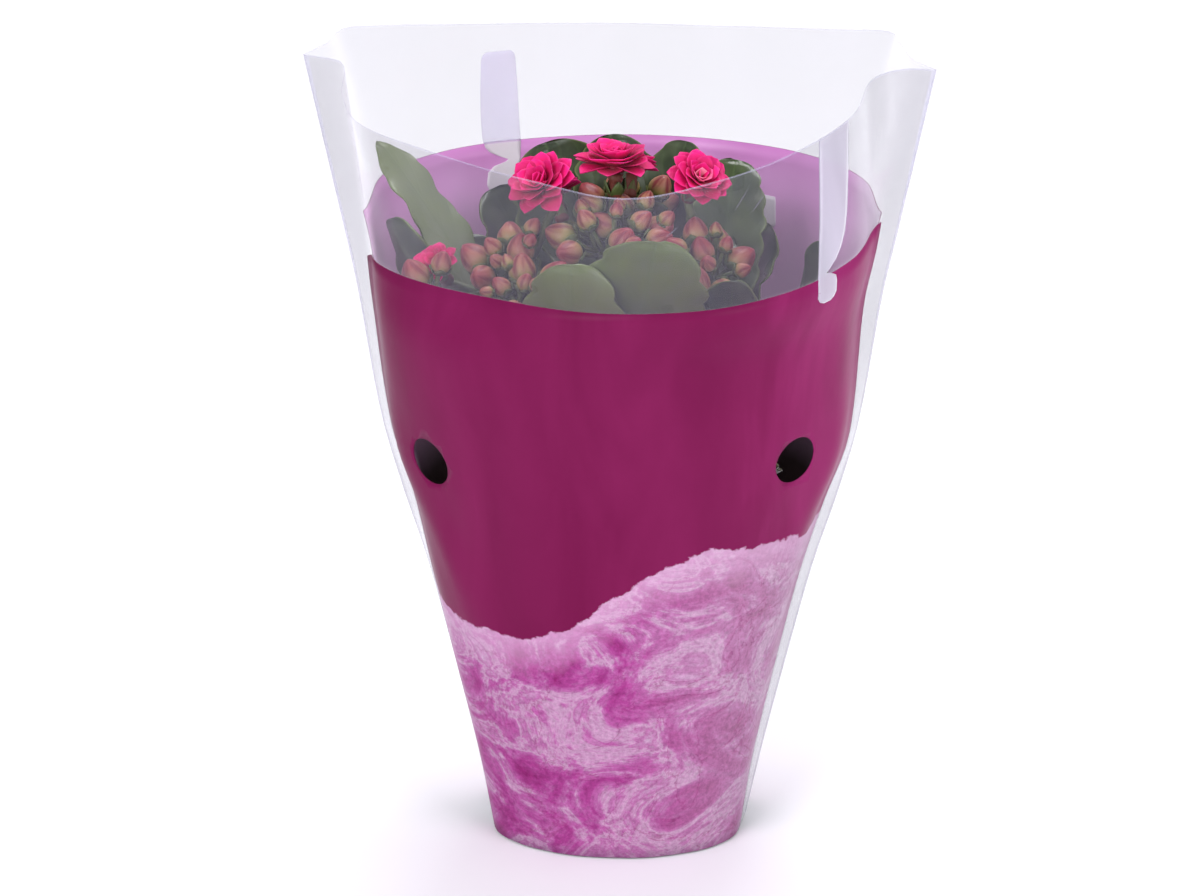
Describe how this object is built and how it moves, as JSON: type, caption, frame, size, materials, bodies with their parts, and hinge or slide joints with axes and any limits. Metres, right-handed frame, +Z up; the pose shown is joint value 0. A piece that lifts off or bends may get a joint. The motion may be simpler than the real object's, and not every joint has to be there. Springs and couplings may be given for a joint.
{
  "type": "potted kalanchoe in a film sleeve",
  "caption": "Young double-flowered pink kalanchoe in a 10.5 cm pot, standing in a tapered sleeve of clear film printed in magenta.",
  "frame": {"origin": "centre of the pot's base, on the table that it rests on", "axes": "+Z up along the pot's axis, -Y towards the sleeve's front panel, the two welded seams at -X and +X"},
  "size_m": [0.2037, 0.1711, 0.2616],
  "materials": {
    "pot_plastic": "matte",
    "potting_mix": "matte",
    "leaf_green": "satin",
    "bud_pink": "satin",
    "petal_pink": "matte",
    "printed_film": "gloss",
    "clear_film": "gloss"
  },
  "bodies": {
    "root": {"pot": "pot_plastic", "soil": "potting_mix", "leafy_stem_centre": "leaf_green", "leafy_stem_left": "leaf_green", "leafy_stem_right": "leaf_green", "leafy_stem_front": "leaf_green", "leafy_stem_back": "leaf_green", "bud_cluster_centre": "bud_pink", "bud_cluster_left": "bud_pink", "bud_cluster_right": "bud_pink", "bud_cluster_front": "bud_pink", "bud_cluster_back": "bud_pink", "bloom_1": "petal_pink", "bloom_2": "petal_pink", "bloom_3": "petal_pink", "bloom_4": "petal_pink", "bloom_5": "petal_pink", "bloom_6": "petal_pink", "sleeve_front_printed_film": "printed_film", "sleeve_back_printed_film": "printed_film", "sleeve_front_clear_film": "clear_film", "sleeve_back_clear_film": "clear_film"}
  },
  "joints": []
}
